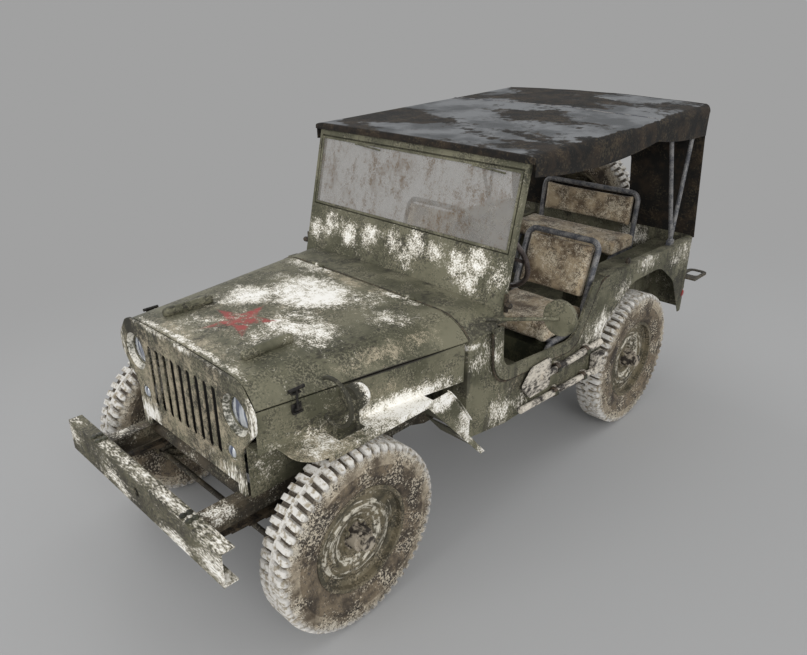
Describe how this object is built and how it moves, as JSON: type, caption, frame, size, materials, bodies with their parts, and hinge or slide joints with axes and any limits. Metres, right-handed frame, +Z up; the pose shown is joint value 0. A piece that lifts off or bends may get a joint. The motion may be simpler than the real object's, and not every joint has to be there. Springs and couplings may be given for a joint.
{
  "type": "light army 4x4 car",
  "caption": "open light army 4x4 car with canvas top, slotted front, folding-frame windscreen, bucket seats, bar-tread tyres and a spare wheel on the tail",
  "frame": {"origin": "on the ground under the middle of the whole car, fittings included", "axes": "Y runs from the bumper (-Y) to the spare wheel (+Y) and is the longest, +X is the car's left, +Z is up"},
  "size_m": [1.666, 3.403, 1.7038],
  "materials": {
    "body_paint": "matt olive paint, whitewashed and worn",
    "frame_paint": "matt olive paint, muddy and whitewashed",
    "dark_steel": "dark dirty steel",
    "engine_iron": "dull painted iron",
    "lamp_metal": "bright lamp glass and bowl",
    "glass": "dusty clear pane",
    "seat_tube": "worn blue-grey paint",
    "seat_canvas": "tan canvas, stained",
    "wheel_rim_plastic": "dark moulded rim",
    "roof_canvas": "dark brown canvas",
    "tank_paint": "matt dark olive",
    "tool_wood": "pale worn wood and steel",
    "tyre": "dusty rubber with snow in the tread",
    "wheel_paint": "matt olive, muddy and whitewashed"
  },
  "bodies": {
    "chassis": {"tub": "body_paint", "cowl": "body_paint", "grille": "body_paint", "fender_left": "body_paint", "fender_right": "body_paint", "windscreen_frame": "body_paint", "blackout_lamp": "body_paint", "mirror": "body_paint", "chassis_frame": "frame_paint", "front_bumper": "frame_paint", "rear_fittings": "frame_paint", "front_axle": "frame_paint", "rear_axle": "frame_paint", "drive_line": "frame_paint", "leaf_springs": "dark_steel", "exhaust": "dark_steel", "steering_column": "dark_steel", "engine_block": "engine_iron", "radiator": "engine_iron", "front_lamps": "lamp_metal", "driver_seat_frame": "seat_tube", "rear_seat_frame": "seat_tube", "top_bows": "seat_tube", "driver_seat_pads": "seat_canvas", "rear_seat_pads": "seat_canvas", "canvas_roof": "roof_canvas", "rear_curtain": "roof_canvas", "fuel_tank": "tank_paint", "pioneer_tools": "tool_wood", "spare_tyre": "tyre", "spare_wheel": "wheel_paint"},
    "hood": {"hood": "body_paint"},
    "glass_frame": {"glass_frame": "body_paint", "glass": "glass"},
    "knuckle_left": {"knuckle_left": "frame_paint"},
    "knuckle_right": {"knuckle_right": "frame_paint"},
    "tie_rod": {"tie_rod": "frame_paint"},
    "steering_wheel": {"steering_wheel": "wheel_rim_plastic"},
    "passenger_seat": {"passenger_seat_frame": "seat_tube", "passenger_seat_pads": "seat_canvas"},
    "wheel_front_left": {"tyre_front_left": "tyre", "wheel_front_left": "wheel_paint"},
    "wheel_front_right": {"tyre_front_right": "tyre", "wheel_front_right": "wheel_paint"},
    "wheel_rear_left": {"tyre_rear_left": "tyre", "wheel_rear_left": "wheel_paint"},
    "wheel_rear_right": {"tyre_rear_right": "tyre", "wheel_rear_right": "wheel_paint"}
  },
  "joints": [
    {"name": "hood_lift", "type": "hinge", "parent": "chassis", "child": "hood", "pos_m": [-0.101, -0.555, 1.0475], "axis": [-1, 0, 0], "range_deg": [0, 100]},
    {"name": "glass_swing", "type": "hinge", "parent": "chassis", "child": "glass_frame", "pos_m": [-0.101, -0.22387, 1.56365], "axis": [-1, 0, 0], "range_deg": [0, 28]},
    {"name": "steer_left", "type": "hinge", "parent": "chassis", "child": "knuckle_left", "pos_m": [0.414, -1.1815, 0.375], "axis": [0, 0, 1], "range_deg": [-24, 24]},
    {"name": "steer_right", "type": "hinge", "parent": "chassis", "child": "knuckle_right", "pos_m": [-0.616, -1.1815, 0.375], "axis": [0, 0, 1], "range_deg": [-24, 24]},
    {"name": "tie_rod_swing", "type": "hinge", "parent": "knuckle_left", "child": "tie_rod", "pos_m": [0.414, -1.3465, 0.271], "axis": [0, 0, 1], "range_deg": [-24, 24]},
    {"name": "steering_wheel_turn", "type": "hinge", "parent": "chassis", "child": "steering_wheel", "pos_m": [0.249, -0.0715, 1.14], "axis": [0, 0.8799, 0.4751], "range_deg": [-312, 312]},
    {"name": "passenger_seat_tip", "type": "hinge", "parent": "chassis", "child": "passenger_seat", "pos_m": [-0.5245, 0.0325, 0.587], "axis": [1, 0, 0], "range_deg": [0, 45]},
    {"name": "wheel_front_left_spin", "type": "hinge", "parent": "knuckle_left", "child": "wheel_front_left", "pos_m": [0.511, -1.1815, 0.375], "axis": [1, 0, 0], "continuous": true},
    {"name": "wheel_front_right_spin", "type": "hinge", "parent": "knuckle_right", "child": "wheel_front_right", "pos_m": [-0.713, -1.1815, 0.375], "axis": [1, 0, 0], "continuous": true},
    {"name": "wheel_rear_left_spin", "type": "hinge", "parent": "chassis", "child": "wheel_rear_left", "pos_m": [0.511, 0.8505, 0.375], "axis": [1, 0, 0], "continuous": true},
    {"name": "wheel_rear_right_spin", "type": "hinge", "parent": "chassis", "child": "wheel_rear_right", "pos_m": [-0.713, 0.8505, 0.375], "axis": [1, 0, 0], "continuous": true}
  ],
  "couplings": [
    {"joint": "steer_right", "follows": "steer_left", "ratio": 1},
    {"joint": "tie_rod_swing", "follows": "steer_left", "ratio": -1},
    {"joint": "steering_wheel_turn", "follows": "steer_left", "ratio": 13}
  ]
}
